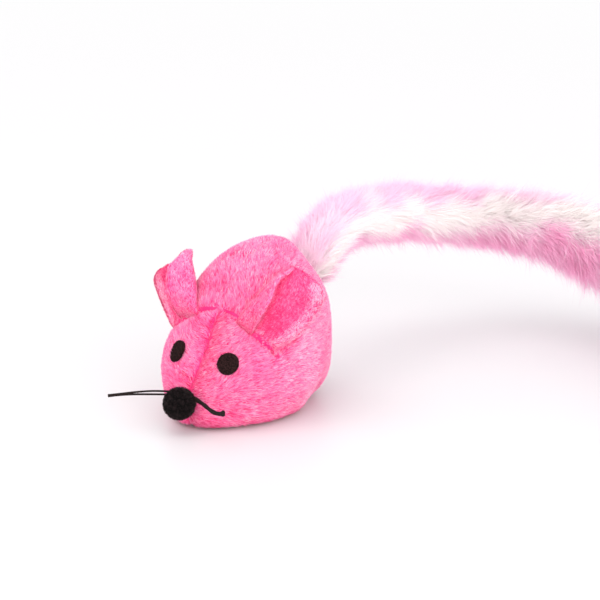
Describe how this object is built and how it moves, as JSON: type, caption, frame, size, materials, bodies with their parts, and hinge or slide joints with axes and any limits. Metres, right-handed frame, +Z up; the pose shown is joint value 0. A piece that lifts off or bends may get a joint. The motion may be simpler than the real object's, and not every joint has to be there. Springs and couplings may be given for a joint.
{
  "type": "mouse cat toy",
  "caption": "Stuffed plush mouse toy for a cat, flat underneath, with folded ears that flap, felt eyes, a pompom nose, thread whiskers and a long fur tail that bends.",
  "frame": {"origin": "middle of the flat base that the mouse stands on", "axes": "+Z up, nose towards -Y, tail leaving towards +Y, the mouse's left side at +X"},
  "size_m": [0.1941, 0.2002, 0.0633],
  "materials": {
    "plush": "short brushed plush",
    "base_cloth": "short brushed plush",
    "filling": "loose fibre",
    "pink_thread": "sewing thread",
    "ear_lining": "short brushed plush",
    "felt": "pressed felt",
    "pompom": "cut pile",
    "whisker_thread": "waxed thread",
    "tail_fur": "long pile fur"
  },
  "bodies": {
    "mouse": {"side_panel_left": "plush", "side_panel_right": "plush", "base_panel": "base_cloth", "body_stuffing": "filling", "centre_seam_thread": "pink_thread", "ear_seam_thread_left": "pink_thread", "ear_seam_thread_right": "pink_thread", "base_seam_thread": "pink_thread", "eye_left": "felt", "eye_right": "felt", "nose_pompom": "pompom", "tail_root": "tail_fur"},
    "ear_left": {"ear_left_back": "plush", "ear_left_lining": "ear_lining"},
    "ear_right": {"ear_right_back": "plush", "ear_right_lining": "ear_lining"},
    "whiskers_left": {"whisker_left_upper": "whisker_thread", "whisker_left_lower": "whisker_thread"},
    "whiskers_right": {"whisker_right_upper": "whisker_thread", "whisker_right_lower": "whisker_thread"},
    "tail_1": {"tail_section_1": "tail_fur"},
    "tail_2": {"tail_section_2": "tail_fur"},
    "tail_3": {"tail_section_3": "tail_fur"},
    "tail_4": {"tail_section_4": "tail_fur"},
    "tail_5": {"tail_section_5": "tail_fur"},
    "tail_6": {"tail_section_6": "tail_fur"},
    "tail_7": {"tail_section_7": "tail_fur"}
  },
  "joints": [
    {"name": "ear_left_flap", "type": "hinge", "parent": "mouse", "child": "ear_left", "pos_m": [0.01607, -0.01653, 0.03308], "axis": [0.8109, 0.2516, -0.5283], "range_deg": [-8, 35], "stiffness_Nm_per_rad": 0.003},
    {"name": "ear_right_flap", "type": "hinge", "parent": "mouse", "child": "ear_right", "pos_m": [-0.01607, -0.01653, 0.03308], "axis": [0.8109, -0.2516, 0.5283], "range_deg": [-8, 35], "stiffness_Nm_per_rad": 0.003},
    {"name": "whiskers_left_flick", "type": "hinge", "parent": "mouse", "child": "whiskers_left", "pos_m": [0.0064, -0.038, 0.0134], "axis": [0, 0, 1], "range_deg": [-20, 20]},
    {"name": "whiskers_right_flick", "type": "hinge", "parent": "mouse", "child": "whiskers_right", "pos_m": [-0.0064, -0.038, 0.0134], "axis": [0, 0, 1], "range_deg": [-20, 20]},
    {"name": "tail_bend_1", "type": "hinge", "parent": "mouse", "child": "tail_1", "pos_m": [-0.00169, 0.0468, 0.04943], "axis": [0, 0, 1], "range_deg": [-25, 25]},
    {"name": "tail_bend_2", "type": "hinge", "parent": "tail_1", "child": "tail_2", "pos_m": [-0.0057, 0.07981, 0.05273], "axis": [1, 0, 0], "range_deg": [0, 25]},
    {"name": "tail_bend_3", "type": "hinge", "parent": "tail_2", "child": "tail_3", "pos_m": [0.00218, 0.11199, 0.04783], "axis": [0, 0, 1], "range_deg": [-15, 20]},
    {"name": "tail_bend_4", "type": "hinge", "parent": "tail_3", "child": "tail_4", "pos_m": [0.02954, 0.13071, 0.04468], "axis": [0, 0, 1], "range_deg": [-15, 20]},
    {"name": "tail_bend_5", "type": "hinge", "parent": "tail_4", "child": "tail_5", "pos_m": [0.06179, 0.13851, 0.03826], "axis": [0, 0, 1], "range_deg": [-15, 20]},
    {"name": "tail_bend_6", "type": "hinge", "parent": "tail_5", "child": "tail_6", "pos_m": [0.09376, 0.1362, 0.0274], "axis": [0, 0, 1], "range_deg": [-15, 20]},
    {"name": "tail_bend_7", "type": "hinge", "parent": "tail_6", "child": "tail_7", "pos_m": [0.12303, 0.1236, 0.01588], "axis": [0, 0, 1], "range_deg": [-15, 20]}
  ]
}
